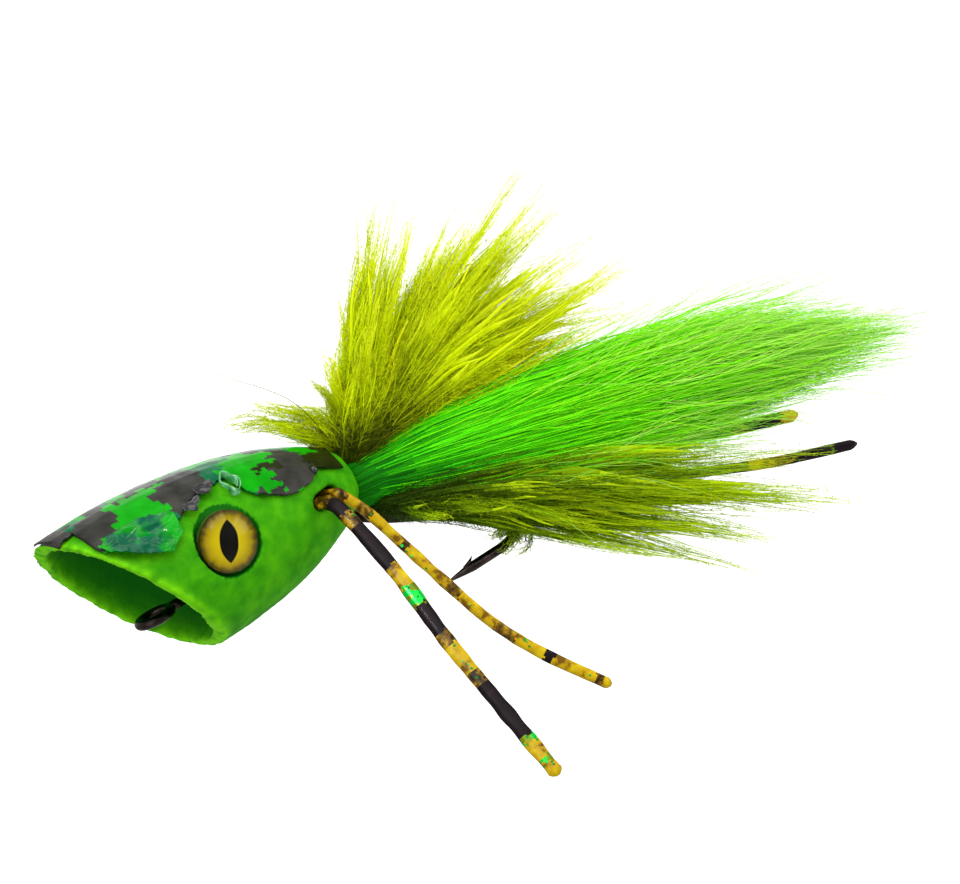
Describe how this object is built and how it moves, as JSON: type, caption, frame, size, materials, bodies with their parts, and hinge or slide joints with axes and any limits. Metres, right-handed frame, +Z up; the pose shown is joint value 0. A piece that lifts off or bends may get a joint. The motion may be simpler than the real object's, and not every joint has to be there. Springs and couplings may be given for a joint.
{
  "type": "topwater popper",
  "caption": "Cup-faced foam popper fly on a long-shank hook, with a printed film back, domed eyes, rubber legs, a hair tail and marabou plumes.",
  "frame": {"origin": "centre of the hook's line eye", "axes": "+X along the hook shank towards the tail, +Z up, the lure's left side is -Y"},
  "size_m": [0.0944, 0.0483, 0.0478],
  "materials": {
    "black_nickel": "black nickel plate, glossy",
    "thread": "waxed tying thread",
    "foam": "closed-cell foam, fine matt grain",
    "film": "glossy printed film in green and charcoal square blocks",
    "adhesive_pad": "thin adhesive foam",
    "iris": "printed gold iris with a black slit pupil",
    "lens": "clear cast resin dome",
    "tail_hair": "fine glossy craft fur, bright green",
    "upper_marabou": "fluffy dyed marabou, yellow olive",
    "lower_marabou": "fluffy dyed marabou, olive green",
    "silicone": "translucent gold silicone with dark bars and green flakes"
  },
  "bodies": {
    "head": {"hook": "black_nickel", "thread_base": "thread", "foam_body": "foam", "back_film": "film", "eye_pad_left": "adhesive_pad", "eye_disc_left": "iris", "eye_lens_left": "lens", "eye_pad_right": "adhesive_pad", "eye_disc_right": "iris", "eye_lens_right": "lens", "collar_thread": "thread", "tail_base": "tail_hair", "front_tuft": "upper_marabou", "leg_core_front": "silicone", "leg_core_rear": "silicone"},
    "tail": {"tail_hair": "tail_hair"},
    "upper_plume": {"upper_marabou": "upper_marabou"},
    "lower_plume": {"lower_marabou_left": "lower_marabou", "lower_marabou_right": "lower_marabou"},
    "left_front_leg": {"leg_left_front": "silicone"},
    "left_rear_leg": {"leg_left_rear": "silicone"},
    "right_front_leg": {"leg_right_front": "silicone"},
    "right_rear_leg": {"leg_right_rear": "silicone"}
  },
  "joints": [
    {"name": "tail_sway", "type": "hinge", "parent": "head", "child": "tail", "pos_m": [0.0437, 0, -0.004], "axis": [0, 0, 1], "range_deg": [-15, 15], "stiffness_Nm_per_rad": 0.002},
    {"name": "upper_plume_lift", "type": "hinge", "parent": "head", "child": "upper_plume", "pos_m": [0.0255, 0, 0.0024], "axis": [0, -1, 0], "range_deg": [-2, 12], "stiffness_Nm_per_rad": 0.01},
    {"name": "lower_plume_drop", "type": "hinge", "parent": "head", "child": "lower_plume", "pos_m": [0.026, 0, -0.0025], "axis": [0, 1, 0], "range_deg": [-2, 12], "stiffness_Nm_per_rad": 0.01},
    {"name": "left_front_leg_swing", "type": "hinge", "parent": "head", "child": "left_front_leg", "pos_m": [0.01835, -0.0056, 0.0023], "axis": [0, 1, 0], "range_deg": [-55, 25], "stiffness_Nm_per_rad": 0.0004},
    {"name": "left_rear_leg_swing", "type": "hinge", "parent": "head", "child": "left_rear_leg", "pos_m": [0.02025, -0.0056, 0.0023], "axis": [0, 1, 0], "range_deg": [-40, 35], "stiffness_Nm_per_rad": 0.0004},
    {"name": "right_front_leg_swing", "type": "hinge", "parent": "head", "child": "right_front_leg", "pos_m": [0.01835, 0.0056, 0.0023], "axis": [0, 1, 0], "range_deg": [-15, 60], "stiffness_Nm_per_rad": 0.0008},
    {"name": "right_rear_leg_swing", "type": "hinge", "parent": "head", "child": "right_rear_leg", "pos_m": [0.02025, 0.0056, 0.0023], "axis": [0, 1, 0], "range_deg": [-15, 60], "stiffness_Nm_per_rad": 0.0008}
  ]
}
